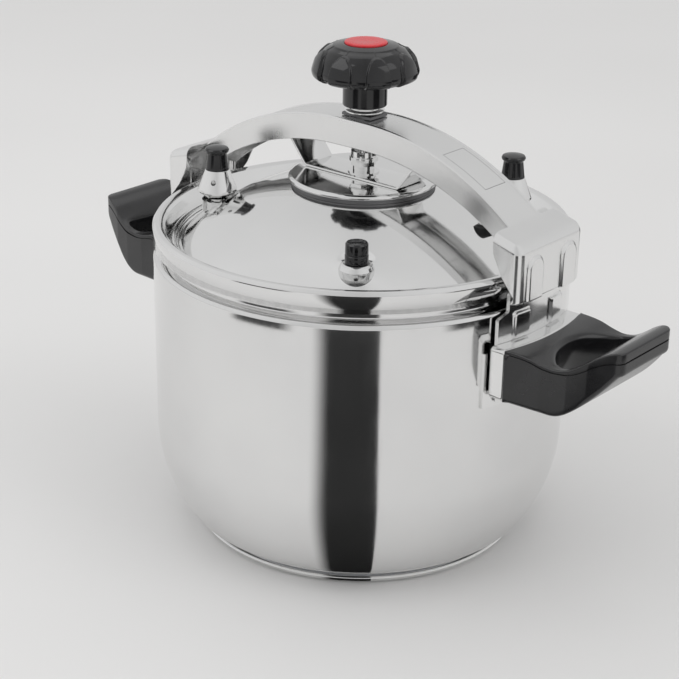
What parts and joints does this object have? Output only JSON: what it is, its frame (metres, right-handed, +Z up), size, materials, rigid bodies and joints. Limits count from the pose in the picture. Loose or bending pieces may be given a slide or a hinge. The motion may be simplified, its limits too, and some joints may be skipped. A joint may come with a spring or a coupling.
{
  "type": "stovetop pressure cooker",
  "caption": "Round steel pressure cooker with domed lid held down by an arch beam and screw knob, claws hooked on side ears, black side handles and weighted valves",
  "frame": {"origin": "centre of the underside of the base, on the surface it stands on", "axes": "+Z up along the pot axis, X along the beam through both handles, Y across the beam"},
  "size_m": [0.3848, 0.242, 0.2896],
  "materials": {
    "polished_steel": "mirror polished stainless steel",
    "satin_steel": "bright polished stainless steel",
    "aluminium_core": "cast, hidden inside the base",
    "dark_steel": "blackened threaded steel",
    "black_phenolic": "moulded phenolic, semi-gloss",
    "red_insert": "moulded, satin",
    "silicone_white": "soft silicone",
    "silicone_black": "soft silicone"
  },
  "bodies": {
    "pot": {"pot_shell": "satin_steel", "base_core": "aluminium_core", "base_cap": "satin_steel", "weld_pads": "polished_steel", "ear_plate_right": "polished_steel", "ear_plate_left": "polished_steel", "ferrule_right": "polished_steel", "ferrule_left": "polished_steel", "handle_right": "black_phenolic", "handle_left": "black_phenolic", "handle_screws_right": "polished_steel", "handle_screws_left": "polished_steel"},
    "beam": {"arch_beam": "polished_steel", "claw_right": "polished_steel", "claw_left": "polished_steel", "thread_block": "dark_steel", "block_collar": "dark_steel"},
    "screw": {"spindle": "polished_steel", "spindle_foot": "polished_steel", "knob_washer": "polished_steel", "knob": "black_phenolic", "knob_insert": "red_insert", "knob_nut": "polished_steel"},
    "valve_left": {"weight_left": "polished_steel", "weight_cap_left": "black_phenolic"},
    "valve_right": {"weight_right": "polished_steel", "weight_cap_right": "black_phenolic"},
    "float": {"float_pin": "polished_steel", "float_seal": "silicone_black"},
    "lid": {"lid_shell": "polished_steel", "seat_disc": "polished_steel", "carrier_strap": "polished_steel", "crown_collar": "polished_steel", "sealing_gasket": "silicone_white", "vent_pipe_left": "polished_steel", "vent_pipe_right": "polished_steel", "pipe_nut_left": "polished_steel", "pipe_nut_right": "polished_steel", "filter_cap_left": "polished_steel", "filter_cap_right": "polished_steel", "safety_valve_body": "polished_steel", "safety_valve_cap": "black_phenolic", "safety_valve_nut": "polished_steel", "float_bush": "silicone_black", "float_nut": "polished_steel"}
  },
  "joints": [
    {"name": "lid_turn", "type": "hinge", "parent": "pot", "child": "lid", "pos_m": [0, 0, 0.18], "axis": [0, 0, 1], "range_deg": [0, 90]},
    {"name": "knob_turn", "type": "hinge", "parent": "lid", "child": "screw", "pos_m": [0, 0, 0.2], "axis": [0, 0, 1], "range_deg": [0, 481]},
    {"name": "beam_drop", "type": "slide", "parent": "lid", "child": "beam", "axis": [0, 0, -1], "range_m": [0, 0.004]},
    {"name": "weight_left_lift", "type": "slide", "parent": "lid", "child": "valve_left", "axis": [0, 0, 1], "range_m": [0, 0.012]},
    {"name": "weight_right_lift", "type": "slide", "parent": "lid", "child": "valve_right", "axis": [0, 0, 1], "range_m": [0, 0.012]},
    {"name": "float_rise", "type": "slide", "parent": "lid", "child": "float", "axis": [0, 0, 1], "range_m": [0, 0.0026]}
  ],
  "couplings": [
    {"joint": "knob_turn", "follows": "beam_drop", "rad_per_m": 2094.4}
  ]
}
